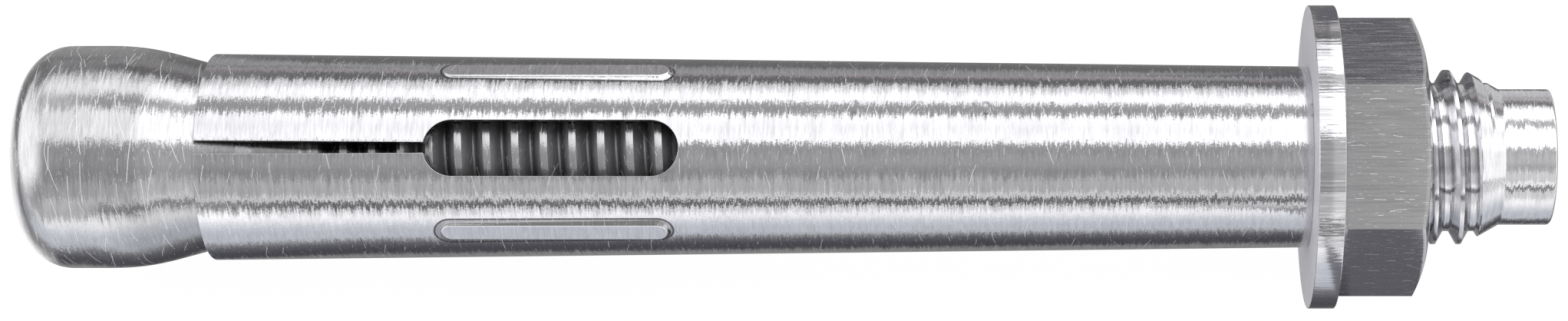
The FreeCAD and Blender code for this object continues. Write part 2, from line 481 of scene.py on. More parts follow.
# %% Where the pads meet the tube
def pad_lines(tree, at):
    """Painted light masks: shade at each pad's foot, a highlight on its rim, shade on its walls."""
    nearest = 1.0
    for pad_turn in pad_turns:
        angle = math.radians(window_angle + pad_turn)
        beside = maths(tree, "ABSOLUTE", dot(tree, at.here, (0, -math.sin(angle), math.cos(angle))))
        opposite = maths(tree, "LESS_THAN",
                         dot(tree, at.here, (0, math.cos(angle), math.sin(angle))), 0.0)
        nearest = maths(tree, "MINIMUM", nearest, maths(tree, "ADD", beside, opposite))
    from_middle = maths(tree, "SUBTRACT", at.x, window_middle * mm)
    past_end = maths(tree, "MAXIMUM", maths(tree, "SUBTRACT", maths(
        tree, "ABSOLUTE", from_middle), pad_half_run * mm), 0.0)
    away = maths(tree, "SQRT", maths(tree, "ADD", times(tree, past_end, past_end),
                                     times(tree, nearest, nearest)))
    # on the near pad the painted foot line lies farther out, most of all at its left end
    front = maths(tree, "LESS_THAN", maths(tree, "ABSOLUTE", at.z), 4 * mm)
    deeper = times(tree, front, faded(tree, from_middle, -7.5 * mm, 7.5 * mm,
                                      0.28 * mm, 0.03 * mm))
    # the tube tapers under a level pad, so the painted foot line lies wider towards the washer
    foot_half = maths(tree, "MULTIPLY_ADD", from_middle, 0.0097, 0.867 * mm)
    past_foot = maths(tree, "SUBTRACT", away, maths(tree, "ADD", deeper, foot_half))
    foot = band(tree, past_foot, (-0.01 * mm, 0.03 * mm), (0.13 * mm, 0.17 * mm))
    past_rim = maths(tree, "SUBTRACT", away, pad_top_half * mm)
    rim = band(tree, past_rim, (-0.07 * mm, -0.03 * mm), (0.01 * mm, 0.04 * mm))
    # the painted highlight on the rim is on the side of the window only
    angle = math.radians(window_angle)
    level = dot(tree, at.here, (0, math.cos(angle), math.sin(angle)))
    rim = times(tree, rim, maths(tree, "GREATER_THAN", level, 4.25 * mm))
    wall = times(tree, faded(tree, past_foot, 0.0, 0.02 * mm, 1.0, 0.0),
                 maths(tree, "GREATER_THAN", away, 0.70 * mm), front)
    return foot, rim, wall


# %% The sleeve's marks, and its painted light and shade
highlight_and_scuff_zinc = (0.95, 0.95, 0.96)


def sleeve_marks(tree, at, tint, rough):
    # the cut walls and the bore are rougher, as thin dull zinc, and painted near black as shade
    skin_r = maths(tree, "MULTIPLY_ADD", at.x, (washer_end_r - tip_r) / sleeve_length,
                   (washer_end_r - 0.065) * mm)
    inner = maths(tree, "LESS_THAN", at.radius, skin_r)
    tint = painted(tree, tint, (0.03, 0.03, 0.03), times(tree, inner, 0.95))
    rough = maths(tree, "MULTIPLY_ADD", inner, 0.25, rough)
    # two rows of nicks run along the tube, as a forming roller may leave them
    half_spacing = 2.2 * mm
    along = maths(tree, "ABSOLUTE", maths(tree, "PINGPONG", at.x, half_spacing))
    for row_angle in (85.5, 93.3):
        off_row = times(tree, distance_from(tree, at.angle, math.radians(90 - row_angle)),
                        unroll_r * mm)
        nick = times(tree, faded(tree, along, 0.10 * mm, 0.28 * mm, 1.0, 0.0),
                     faded(tree, off_row, 0.06 * mm, 0.16 * mm, 1.0, 0.0))
        tint = painted(tree, tint, (0.16, 0.16, 0.17), times(tree, nick, at.cloud, 0.9))
    foot, rim, wall = pad_lines(tree, at)
    # painted shade on the near pad's walls and at the pads' feet, and a painted highlight on the
    # rims
    tint = painted(tree, tint, (0.33, 0.32, 0.32), times(tree, wall, 0.7))
    tint = painted(tree, tint, (0.10, 0.10, 0.11), times(tree, foot, 0.95))
    tint = painted(tree, tint, highlight_and_scuff_zinc, times(tree, rim, 0.8))
    for mask in (foot, rim):
        rough = maths(tree, "MULTIPLY_ADD", mask, 0.2, rough)
    return tint, rough


# %% The stud's marks, and its painted shade
inner_shade = (0.05, 0.05, 0.054)


def stud_marks(tree, at, tint, rough):
    # below the crests of the inner thread the grooves get painted shade, deeper towards the root
    # and most of all on the flanks that face the bulb
    facing_x = node(tree, "ShaderNodeSeparateXYZ", {0: at.normal}).outputs[0]
    deep = maths(tree, "POWER", faded(tree, at.radius, 4.35 * mm, 5.31 * mm, 1.0, 0.0), 0.8)
    deep = times(tree, deep, faded(tree, facing_x, -0.2, 0.4, 0.88, 0.48), at.inside)
    tint = painted(tree, tint, inner_shade, deep)
    rough = maths(tree, "MULTIPLY_ADD", maths(tree, "POWER", deep, 0.3), 0.34, rough)
    # painted shade on the bar inside the sleeve, from just past its tip
    under_sleeve = times(tree, faded(tree, at.x, -75.3 * mm, -74.7 * mm, 0.0, 1.0), at.inside)
    tint = painted(tree, tint, inner_shade, times(tree, under_sleeve, 0.20))
    rough = maths(tree, "MULTIPLY_ADD", under_sleeve, 0.12, rough)
    # in each slit the sleeve's upper lip shades the bar, less and less towards the tip
    slit_angle = math.radians(90 - window_angle)
    half_third = math.radians(60)
    turned = maths(tree, "WRAP", at.angle, slit_angle + half_third, slit_angle - half_third)
    beside = times(tree, at.radius, maths(tree, "SUBTRACT", turned, slit_angle))
    lip = maths(tree, "SUBTRACT", beside, faded(tree, at.x, -sleeve_length * mm, -68.3 * mm,
                                                0.38 * mm, -0.04 * mm))
    lip = times(tree, faded(tree, lip, -0.08 * mm, 0.08 * mm, 0.0, 0.9), under_sleeve,
                maths(tree, "LESS_THAN", at.x, -61.5 * mm))
    tint = painted(tree, tint, (0.02, 0.02, 0.02), lip)
    # the bulb is a little duller than the rest
    rough = maths(tree, "MULTIPLY_ADD", at.on_bulb, 0.06, rough)
    dull = times(tree, at.on_bulb, faded(tree, at.x, -81.5 * mm, -79 * mm, 0.13, 0.30))
    return painted(tree, tint, (0.1, 0.1, 0.1), dull), rough


# %% How far the marks tilt the normal
def noise(tree, at, scale, detail):
    made = node(tree, "ShaderNodeTexNoise", {"Vector": at.here, "Scale": scale, "Detail": detail})
    return maths(tree, "SUBTRACT", made.outputs[0], 0.5)


def stretched_noise(tree, at, marks, fine_share, long_share):
    """Noise drawn out along the marks; marks is how often they repeat in a metre (along X,
    round X), and the shares make them coarser."""
    scale = [mark * (fine_share if mark > min(marks) else long_share)
             for mark in (marks[0], marks[1], marks[1])]
    stretched = node(tree, "ShaderNodeMapping", {"Vector": at.here, "Scale": scale})
    return node(tree, "ShaderNodeTexNoise", {"Vector": stretched.outputs[0], "Scale": 1.0,
                                             "Detail": 3.0, "Roughness": 0.7}).outputs[0]


fine_tilt, coarse_tilt, ripple_tilt, bulb_ripple_tilt = 1.15, 0.30, 0.08, 0.50


def tilted_normal(tree, at, fine, coarse, tilt, speckle, part):
    """Fine and coarse marks, broad ripples and fine grain all tilt the normal round the axis."""
    waves = tilt * ripple_tilt
    if part == "stud":
        waves = maths(tree, "MULTIPLY_ADD", at.on_bulb, tilt * bulb_ripple_tilt, waves)
    shift = times(tree, fine, tilt * fine_tilt)
    shift = maths(tree, "MULTIPLY_ADD", coarse, tilt * coarse_tilt, shift)
    shift = maths(tree, "MULTIPLY_ADD", noise(tree, at, 900.0, 2.0), waves, shift)
    shift = maths(tree, "MULTIPLY_ADD", noise(tree, at, 9000.0, 1.0), speckle, shift)
    if part == "stud":
        # the rolled end thread is smoother than the turned parts
        rolled = times(tree, maths(tree, "GREATER_THAN", at.x, 0.0),
                       maths(tree, "GREATER_THAN", at.radius, 4.75 * mm))
        shift = times(tree, shift, maths(tree, "MULTIPLY_ADD", rolled, -0.5, 1.0))
    round_it = vectors(tree, "CROSS_PRODUCT", (1, 0, 0), at.normal)
    tilted = node(tree, "ShaderNodeVectorMath", {0: round_it, 1: shift, 2: at.normal},
                  operation="MULTIPLY_ADD").outputs[0]
    return node(tree, "ShaderNodeVectorMath", {0: tilted}, operation="NORMALIZE").outputs[0]


# %% A zinc coat
def zinc(name, colour, roughness, marks, tilt, speckle, lean, spread, share,
         cells=600, width=0.011, streak=0.26, metallic=1.0, part=""):
    """lean, spread, share, cells and width are the scuffs' own: see the scuff pattern."""
    material = bpy.data.materials.new(name)
    material.use_nodes = True
    tree = material.node_tree
    tree.nodes.clear()
    at = surface(tree)
    fine = maths(tree, "SUBTRACT", stretched_noise(tree, at, marks, 1.0, 1.0), 0.5)
    coarse = faded(tree, stretched_noise(tree, at, marks, 0.62, 0.8), 0.33, 0.67, -0.5, 0.5)
    normal = tilted_normal(tree, at, fine, coarse, tilt, speckle, part)

    # a few long scratches, then scuffs in three sizes, and more of them on the bulb
    layers = [(170, 0.0035, 0.45, share, lean, 1.3, 0.5),
              (cells, width, 0.40, share, lean, spread, 1.0),
              (cells * 2.3, width * 1.8, 0.34, share * 0.9, lean, spread, 0.75),
              (cells * 4.7, width * 3.2, 0.30, share * 0.8, lean, spread, 0.5)]
    if part == "stud":
        layers += [(330, 0.007, 0.46, 0.85, lean + 0.1, 0.6, at.on_bulb),
                   (470, 0.009, 0.46, 0.80, lean + 0.2, 0.5, at.on_bulb),
                   (210, 0.005, 0.48, 0.75, lean, 0.5, at.on_bulb)]
    scuff = scuff_layers(tree, at.unrolled, layers)

    rough = maths(tree, "MULTIPLY_ADD", at.cloud, roughness * 0.6, roughness * 0.7)
    rough = maths(tree, "MULTIPLY_ADD", maths(tree, "ABSOLUTE", fine), 0.12, rough)
    rough = maths(tree, "MULTIPLY_ADD", scuff, 0.4, rough)
    shade = maths(tree, "MULTIPLY_ADD", coarse, streak, 1.0)
    shade = maths(tree, "MULTIPLY_ADD", fine, streak * 0.8, shade)
    tint = scaled(tree, colour, shade)
    if part == "stud":
        tint, rough = stud_marks(tree, at, tint, rough)
    if part == "sleeve":
        tint, rough = sleeve_marks(tree, at, tint, rough)
    tint = painted(tree, tint, highlight_and_scuff_zinc, times(tree, scuff, 0.75))
    coat = node(tree, "ShaderNodeBsdfPrincipled", {"Base Color": tint, "Metallic": metallic,
                                                   "Roughness": rough, "Normal": normal})
    node(tree, "ShaderNodeOutputMaterial", {0: coat.outputs[0]})
    print(name, "nodes", len(tree.nodes))
    return material


# %% The coats of the five surfaces
marks_round = (9000, 700)
marks_along = (300, 9000)
round_the_axis = math.pi / 2
sleeve_zinc = zinc("sleeve_zinc", (0.655, 0.65, 0.675), 0.11, marks_round, tilt=0.17,
                   speckle=0.12, lean=round_the_axis, spread=0.7, share=0.48, part="sleeve")
stud_zinc = zinc("stud_zinc", (0.65, 0.645, 0.665), 0.12, marks_round, tilt=0.18,
                 speckle=0.12, lean=round_the_axis, spread=0.8, share=0.44, part="stud")
washer_zinc = zinc("washer_zinc", (0.66, 0.655, 0.68), 0.13, marks_along, tilt=0.36,
                   speckle=0.08, lean=0.0, spread=0.5, share=0.2, streak=0.35)
nut_zinc = zinc("nut_zinc", (0.58, 0.574, 0.585), 0.12, marks_along, tilt=0.26,
                speckle=0.12, lean=0.0, spread=0.20, share=0.5, cells=800, width=0.009,
                streak=0.16)
washer_face_zinc = zinc("washer_face_zinc", (0.60, 0.59, 0.63), 0.5, (2000, 2000), tilt=0.05,
                        speckle=0.05, lean=0.0, spread=3.0, share=0.05, streak=0.1,
                        metallic=0.25)

# %% [markdown]
# ## Turned shapes
#
# The bulb, the dog point and the washer are round, so each is an outline that is carried once
# round the axis. Where an outline meets the axis it ends in one shared point, so that no tiny
# faces gather there. Corners get a short arc, because no real edge is perfectly sharp, and the
# arc is what catches the light.

# %% Helpers for turned shapes
def arc(centre, radius, start, end, steps):
    """Points (x, r) of an arc; angles in degrees, from +X towards outward."""
    points = []
    for index in range(steps + 1):
        angle = math.radians(start + (end - start) * index / steps)
        points.append((centre[0] + radius * math.cos(angle),
                       centre[1] + radius * math.sin(angle)))
    return points


def turn(outline, columns):
    """Carries an outline of (x, r) in mm round X. Returns points in metres and faces."""
    points, faces, rings = [], [], []
    for x, r in outline:
        if r < 1e-6:
            rings.append([len(points)] * columns)
            points.append((x * mm, 0, 0))
            continue
        rings.append(list(range(len(points), len(points) + columns)))
        for column in range(columns):
            angle = 2 * math.pi * column / columns
            points.append((x * mm, r * mm * math.cos(angle), r * mm * math.sin(angle)))
    for first, second in zip(rings, rings[1:]):
        for column in range(columns):
            after = (column + 1) % columns
            corners = [first[column], first[after], second[after], second[column]]
            faces.append(tuple(dict.fromkeys(corners)))
    return points, faces


# %% Helpers for pieces
def bridge(faces, first, second, closed=True):
    """Adds a face between each two neighbours of two rings, given as point numbers."""
    count = len(first)
    for index in range(count if closed else count - 1):
        after = (index + 1) % count
        faces.append((first[index], first[after], second[after], second[index]))


def new_piece(name, points, faces, material):
    mesh = bpy.data.meshes.new(name)
    mesh.from_pydata(points, [], faces)
    mesh.materials.append(material)
    piece = bpy.data.objects.new(name, mesh)
    bpy.context.scene.collection.objects.link(piece)
    return piece


def tidy_mesh(piece, gap=1e-7):
    """Merges doubles and turns every face outwards."""
    work = bmesh.new()
    work.from_mesh(piece.data)
    bmesh.ops.remove_doubles(work, verts=work.verts, dist=gap)
    bmesh.ops.dissolve_degenerate(work, edges=work.edges, dist=gap)
    bmesh.ops.recalc_face_normals(work, faces=work.faces)
    open_edges = sum(1 for edge in work.edges if not edge.is_manifold)
    if work.calc_volume(signed=True) < 0:
        bmesh.ops.reverse_faces(work, faces=work.faces)
    work.to_mesh(piece.data)
    work.free()
    print(piece.name, "faces", len(piece.data.polygons), "open edges", open_edges)


def shade_smooth(piece, sharp_angle):
    """Smooth shading, but crisp where two faces meet at more than the angle, in degrees."""
    for face in piece.data.polygons:
        face.use_smooth = True
    piece.data.set_sharp_from_angle(angle=math.radians(sharp_angle))


# %% [markdown]
# ## A screw thread by a rule
#
# A rolled thread is a 60 degree ridge with a flat crest and a flat root, wound round the axis at
# one pitch a turn. The neat way to mesh it is a sheet whose rows follow the helix: every crest
# edge then lies on a row and stays crisp. Geometry Nodes make that sheet from a plain grid, and
# one tree serves the long thread inside the sleeve, the end thread and the thread in the nut.
# The sheet's ends are pressed flat at the two given places, and a ramp there lets the groove
# rise out of the bar as it does where the rolling dies leave it. A taper narrows the thread past
# one place, which is the end chamfer, and a lead narrows it before another.

# %% The thread tree
thread_inputs = [
    ("Pitch", 1.75), ("Crest radius", 6.0), ("Depth", 0.9), ("Crest flat", 0.25),
    ("Start", 0.0), ("End", 10.0), ("Start run", 0.5), ("End run", 0.5),
    ("Taper start", 100.0), ("Taper slope", 0.0), ("Phase", 0.0), ("Root softness", 0.05),
    ("Lead end", -100.0), ("Lead slope", 0.0),
]


def thread_tree():
    tree = bpy.data.node_groups.new("helical_thread", "GeometryNodeTree")
    tree.interface.new_socket("Geometry", in_out="OUTPUT", socket_type="NodeSocketGeometry")
    tree.interface.new_socket("Material", in_out="INPUT", socket_type="NodeSocketMaterial")
    tree.interface.new_socket("Rows a turn", in_out="INPUT", socket_type="NodeSocketInt")
    tree.interface.new_socket("Columns", in_out="INPUT", socket_type="NodeSocketInt")
    for name, value in thread_inputs:
        made = tree.interface.new_socket(name, in_out="INPUT", socket_type="NodeSocketFloat")
        made.default_value = value
    given = node(tree, "NodeGroupInput").outputs
    pitch = given["Pitch"]
    turns = maths(tree, "ADD", 3.0, maths(tree, "DIVIDE", maths(
        tree, "SUBTRACT", given["End"], given["Start"]), pitch))
    turns = maths(tree, "CEIL", turns)
    rows = maths(tree, "ADD", times(tree, turns, given["Rows a turn"]), 1.0)
    columns = maths(tree, "ADD", given["Columns"], 1.0)
    grid = node(tree, "GeometryNodeMeshGrid", {"Size X": 1.0, "Size Y": 1.0,
                                               "Vertices X": rows, "Vertices Y": columns})
    spot = node(tree, "GeometryNodeInputPosition").outputs[0]
    u, v, _ = node(tree, "ShaderNodeSeparateXYZ", {0: spot}).outputs
    turn_share = maths(tree, "ADD", v, 0.5)
    # how far the row's place on the ridge has come, in pitches, and the point along the axis
    ridge = times(tree, maths(tree, "ADD", u, 0.5), turns)
    first = maths(tree, "SUBTRACT", maths(tree, "FLOOR", maths(tree, "DIVIDE", maths(
        tree, "SUBTRACT", given["Start"], given["Phase"]), pitch)), 1.0)
    along = times(tree, maths(tree, "ADD", maths(tree, "ADD", ridge, first), turn_share), pitch)
    along = maths(tree, "ADD", along, given["Phase"])
    along = maths(tree, "MINIMUM", maths(tree, "MAXIMUM", along, given["Start"]), given["End"])
    # where this point is on the ridge: 0 at a crest's middle, 0.5 at a root's middle
    on_ridge = maths(tree, "SUBTRACT", maths(tree, "DIVIDE", maths(
        tree, "SUBTRACT", along, given["Phase"]), pitch), turn_share)
    away = maths(tree, "PINGPONG", on_ridge, 0.5)
    beyond = maths(tree, "SUBTRACT", times(tree, away, pitch),
                   times(tree, given["Crest flat"], 0.5))
    flank_slope = math.sqrt(3)
    drop = times(tree, maths(tree, "MAXIMUM", beyond, 0.0), flank_slope)
    # the groove comes in and runs out over the ends
    come_in = maths(tree, "DIVIDE", maths(tree, "SUBTRACT", along, given["Start"]),
                    given["Start run"], clamp=True)
    run_out = maths(tree, "DIVIDE", maths(tree, "SUBTRACT", given["End"], along),
                    given["End run"], clamp=True)
    drop = maths(tree, "SMOOTH_MIN", drop, given["Depth"], given["Root softness"])
    drop = maths(tree, "MAXIMUM", times(tree, drop, times(tree, come_in, run_out)), 0.0)
    taper = times(tree, maths(tree, "MAXIMUM", maths(
        tree, "SUBTRACT", along, given["Taper start"]), 0.0), given["Taper slope"])
    lead = times(tree, maths(tree, "MAXIMUM", maths(
        tree, "SUBTRACT", given["Lead end"], along), 0.0), given["Lead slope"])
    drop = maths(tree, "MAXIMUM", maths(tree, "MAXIMUM", drop, taper), lead)
    radius = times(tree, maths(tree, "SUBTRACT", given["Crest radius"], drop), mm)
    angle = times(tree, turn_share, 2 * math.pi)
    rolled = node(tree, "ShaderNodeCombineXYZ", {
        0: times(tree, along, mm),
        1: times(tree, radius, maths(tree, "COSINE", angle)),
        2: times(tree, radius, maths(tree, "SINE", angle))}).outputs[0]
    placed = node(tree, "GeometryNodeSetPosition", {"Geometry": grid.outputs["Mesh"],
                                                    "Position": rolled})
    merged = node(tree, "GeometryNodeMergeByDistance", {"Geometry": placed.outputs[0],
                                                        "Distance": 1e-6})
    real = node(tree, "GeometryNodeRealizeInstances", {"Geometry": merged.outputs[0]})
    dressed = node(tree, "GeometryNodeSetMaterial", {"Geometry": real.outputs[0],
                                                     "Material": given["Material"]})
    node(tree, "NodeGroupOutput", {"Geometry": dressed.outputs[0]})
    return tree


thread_rule = thread_tree()


# %% Winding a thread gives plain points and faces
def input_names(rule):
    """A modifier's inputs are set by the sockets' identifiers, which this finds by their names."""
    return {item.name: item.identifier for item in rule.interface.items_tree
            if item.in_out == "INPUT"}


def wind(material, rows, columns, **sizes):
    """The sizes are the tree's inputs, written small and with _ between their words."""
    host = new_piece("thread_host", [(0, 0, 0)], [], material)
    modifier = host.modifiers.new("thread", "NODES")
    modifier.node_group = thread_rule
    sockets = input_names(thread_rule)
    modifier[sockets["Material"]] = material
    modifier[sockets["Rows a turn"]] = rows
    modifier[sockets["Columns"]] = columns
    for name, value in thread_inputs:
        modifier[sockets[name]] = float(sizes.pop(name.lower().replace(" ", "_"), value))
    assert not sizes, sizes
    host.update_tag()
    graph = bpy.context.evaluated_depsgraph_get()
    mesh = bpy.data.meshes.new_from_object(host.evaluated_get(graph))
    points = [tuple(vertex.co) for vertex in mesh.vertices]
    faces = [tuple(face.vertices) for face in mesh.polygons]
    bpy.data.objects.remove(host)
    bpy.data.meshes.remove(mesh)
    return points, faces


def join(*parts):
    """Puts several (points, faces) together, numbering the faces' corners on."""
    points, faces = [], []
    for more_points, more_faces in parts:
        start = len(points)
        points.extend(more_points)
        faces.extend(tuple(corner + start for corner in face) for face in more_faces)
    return points, faces


# %% [markdown]
# ## The stud
#
# One bar, formed from end to end: a bulb with a rounded nose, a cone, a plain shank, the long
# inner thread that shows through the sleeve's window, the full thread under the nut, and the
# smooth dog point. The plain stretches are turned and the two threads are wound, all with the
# same number of columns, so that their rings meet point for point and merge into one skin.
#
# Under the washer, out of sight, a groove parts the two threads, and a lead eases the start of
# the end thread. The real bar has no need of them, because its nut turns as it is tightened.
# Here the setting stroke draws the nut along without turning it, so that its thread would cut
# through the stud's, and the groove and the lead leave room for it.

# %% Stud sizes, in mm
columns = 120
cone_angle = 15.1
cone_slope = math.tan(math.radians(cone_angle))
bulb_r, bulb_length, nose_r, blend_r = 7.64, 7.97, 3.05, 16.6
shank_r = 5.35
cone_root = -71.4
cone_top = cone_root - (bulb_r - shank_r) / cone_slope
bulb_end = cone_top - bulb_length
thread_r, thread_end, thread_pitch, thread_phase = 6.0, 10.73, 1.75, 0.60
dog_r, dog_length, dog_edge = 4.66, 3.5, 0.2
point_slope = math.tan(math.radians(29.5))
point_end = thread_end + (thread_r - dog_r) / point_slope
dog_end = point_end + dog_length
# the wound thread stops a little short of the chamfer's foot
taper_end = 12.9
inner_start, inner_end = -68.3, -2.4
groove_r = 5.05
lead_end = 0.6
print("stud from", round(bulb_end, 2), "to", round(dog_end, 2), "mm")

# %% Stud outlines, with a soft corner at the cone's root and at the chamfer's foot
nose = arc((bulb_end + nose_r, bulb_r - nose_r), nose_r, 180, 90, 16)
blend_start = cone_top - blend_r * math.tan(math.radians(cone_angle) / 2)
blend = arc((blend_start, bulb_r - blend_r), blend_r, 90, 90 - cone_angle, 8)
head = [(bulb_end, 0), (bulb_end, 2.3)] + nose + blend + [
    (cone_root - 0.12, shank_r + 0.033), (cone_root, shank_r + 0.006),
    (cone_root + 0.12, shank_r), (inner_start, shank_r)]
groove = [(inner_end, shank_r), (inner_end + 0.2, groove_r), (0, groove_r)]
tail = [(taper_end, thread_r - (taper_end - thread_end) * point_slope),
        (point_end - 0.08, dog_r + 0.045), (point_end, dog_r + 0.008),
        (point_end + 0.08, dog_r)]
tail += arc((dog_end - dog_edge, dog_r - dog_edge), dog_edge, 90, 0, 5) + [(dog_end, 0)]

# %% Stud
inner_thread = wind(stud_zinc, 16, columns, pitch=1.931, crest_radius=shank_r, depth=1.0,
                    crest_flat=0.47, start=inner_start, end=inner_end, start_run=2.0,
                    end_run=0.4, phase=-0.29, root_softness=0.4)
end_thread = wind(stud_zinc, 24, columns, pitch=thread_pitch, crest_radius=thread_r, depth=0.9,
                  crest_flat=0.285, start=0, end=taper_end, start_run=0.02, end_run=0.02,
                  taper_start=thread_end, taper_slope=point_slope, phase=thread_phase,
                  lead_end=lead_end, lead_slope=(thread_r - groove_r) / lead_end)
stud = new_piece("bulb_stud", *join(turn(head, columns), inner_thread, turn(groove, columns),
                                    end_thread, turn(tail, columns)), stud_zinc)
tidy_mesh(stud, 2e-6)
shade_smooth(stud, 24)

# %% [markdown]
# ## The sleeve
#
# The sleeve is a tube that widens towards its slotted tip. Three windows are cut through it, and
# a slit runs from each to the tip, so that the tip is three fingers. Low pads with flat tops
# stand on the fingers. Cutting holes into a round tube leaves long thin faces that shade badly,
# so it is drawn flat first, as a pattern on paper, with every edge rounded by short steps. An
# even net of points fills the space between the outlines. Then Geometry Nodes roll the pattern
# into the tapered tube. Its normals come from the tube's own shape, so that the curve shades
# cleanly right up to the edges.

# %% Sleeve sizes, in mm and radians
tip_x = -sleeve_length
bore_r = 5.45
window_r = 3.78 / 2
window_half_run = (17.08 - 3.78) / 2
window_start = window_middle - window_half_run - window_r
slit_half_at_window, slit_half_at_tip = 0.36, 0.45
window_angles = [math.radians(window_angle + 120 * index) for index in range(3)]
pad_angles = [math.radians(window_angle + pad_turn) for pad_turn in pad_turns]
# the seam runs along the back, clear of the windows and the pads
seam = math.radians(window_angle + 120 + 34)
edge_round = 0.03


def outer_r(x):
    return washer_end_r + (tip_r - washer_end_r) * (-x / sleeve_length)


def inner_r(x):
    return bore_r + max(0.0, cone_root - x) * cone_slope


def slit_half(x):
    share = (window_start - x) / (window_start - tip_x)
    return slit_half_at_window + (slit_half_at_tip - slit_half_at_window) * share


def from_seam(angle):
    return (angle - seam) % (2 * math.pi)


# %% The pattern's outline at the tip: in along a slit, round its window and out again
def tip_outline(grown):
    """For each window a list of (x, offset, the window's angle), grown into the metal."""
    points = []
    r = window_r + grown
    left = window_middle - window_half_run
    right = window_middle + window_half_run
    # where the slit's straight sides meet the window's round end
    mouth_half = slit_half(left - r) + grown
    start = -math.acos(-math.sqrt(r * r - mouth_half ** 2) / r)
    slit_xs = np.linspace(tip_x + grown, left + r * math.cos(start), 26)
    for middle in sorted(from_seam(angle) for angle in window_angles):
        path = [(x, -(slit_half(x) + grown)) for x in slit_xs[:-1]]
        for angle in np.linspace(start, -math.pi / 2, 10)[:-1]:
            path.append((left + r * math.cos(angle), r * math.sin(angle)))
        for x in np.linspace(left, right, 22)[:-1]:
            path.append((x, -r))
        for angle in np.linspace(-math.pi / 2, math.pi / 2, 23)[:-1]:
            path.append((right + r * math.cos(angle), r * math.sin(angle)))
        for x in np.linspace(right, left, 22)[:-1]:
            path.append((x, r))
        for angle in np.linspace(math.pi / 2, -start, 10)[:-1]:
            path.append((left + r * math.cos(angle), r * math.sin(angle)))
        path += [(x, slit_half(x) + grown) for x in slit_xs[::-1]]
        points.append([(x, offset, middle) for x, offset in path])
    return points


# %% The whole outline, from the seam round to the seam
def ring_at(grown, depth_share, depth):
    """The whole outline as (x, angle, height over the outer skin). It lies at a depth under the
    skin, plus a share of what the wall then has left over the same depth at the bore."""
    ring = []
    windows = tip_outline(grown)
    for number, path in enumerate(windows):
        heights = []
        for x, offset, middle in path:
            wall = outer_r(x) - inner_r(x)
            height = -(depth + depth_share * (wall - 2 * depth))
            r = outer_r(x) + height
            heights.append((x, middle + math.asin(offset / r), height))
        if number == 0:
            first = heights[0][1]
            for angle in np.linspace(0, first, 20)[:-1]:
                ring.append((tip_x + grown, angle, heights[0][2]))
        ring.extend(heights)
        last = heights[-1][1]
        if number < 2:
            following = windows[number + 1][0]
            r = outer_r(tip_x) + heights[-1][2]
            next_angle = following[2] + math.asin(following[1] / r)
            for angle in np.linspace(last, next_angle, 40)[1:-1]:
                ring.append((tip_x + grown, angle, heights[-1][2]))
        else:
            for angle in np.linspace(last, 2 * math.pi, 22)[1:]:
                ring.append((tip_x + grown, angle, heights[-1][2]))
    return ring


print("points in the wavy outline", len(ring_at(0, 0, 0)))


# %% Pads: from the flat top down a hollow wall to the tube
pad_top_height = 6.98
pad_wall_slope = 1 / 0.86


def pad_rings(pad_angle):
    """Rings of one pad, from the foot on the tube up to its flat top."""
    half_run = pad_half_run
    outline = []
    for angle in np.linspace(-math.pi / 2, math.pi / 2, 15)[:-1]:
        outline.append((half_run, math.cos(angle), math.sin(angle)))
    for x in np.linspace(half_run, -half_run, 40)[:-1]:
        outline.append((x, 0.0, 1.0))
    for angle in np.linspace(math.pi / 2, 3 * math.pi / 2, 15)[:-1]:
        outline.append((-half_run, math.cos(angle), math.sin(angle)))
    for x in np.linspace(-half_run, half_run, 40)[:-1]:
        outline.append((x, 0.0, -1.0))

    def at(run, out_x, out_w, offset, height):
        x = window_middle + run + out_x * (pad_top_half + offset)
        w = out_w * (pad_top_half + offset)
        r = math.hypot(w, height)
        return x, from_seam(pad_angle) + math.atan2(w, height), r - outer_r(x)

    def on_wall(offset):
        return pad_top_height - offset * pad_wall_slope

    # how far out each wall reaches the tube, by halving the range again and again
    feet = []
    for spot in outline:
        low, high = 0.0, 3.0
        for _ in range(40):
            middle = (low + high) / 2
            if at(*spot, middle, on_wall(middle))[2] > 0:
                low = middle
            else:
                high = middle
        feet.append(low)
    foot_round = 0.06
    foot = [at(*spot, offset + foot_round, on_wall(offset))
            for spot, offset in zip(outline, feet)]
    rings = [[(x, angle, 0.0) for x, angle, _ in foot]]
    for share, lift in ((0.86, 0.012), (0.6, -0.008)):
        rings.append([at(*spot, offset * share, on_wall(offset * share) + lift)
                      for spot, offset in zip(outline, feet)])
    for offset, drop in ((0.07, 0.075), (0.025, 0.022), (-0.04, 0.0)):
        rings.append([at(*spot, offset, pad_top_height - drop) for spot in outline])
    return rings


pads = [pad_rings(angle) for angle in pad_angles]
print("pads", len(pads), "rings each", len(pads[0]))


# %% Filling the space between the outlines with an even net
def inside(polygon, x, y):
    """Which of the points lie in the polygon."""
    result = np.zeros(len(x), bool)
    px, py = polygon[:, 0], polygon[:, 1]
    qx, qy = np.roll(px, -1), np.roll(py, -1)
    for ax, ay, bx, by in zip(px, py, qx, qy):
        crosses = (ay > y) != (by > y)
        if ay != by:
            result ^= crosses & (x < (bx - ax) * (y - ay) / (by - ay) + ax)
    return result


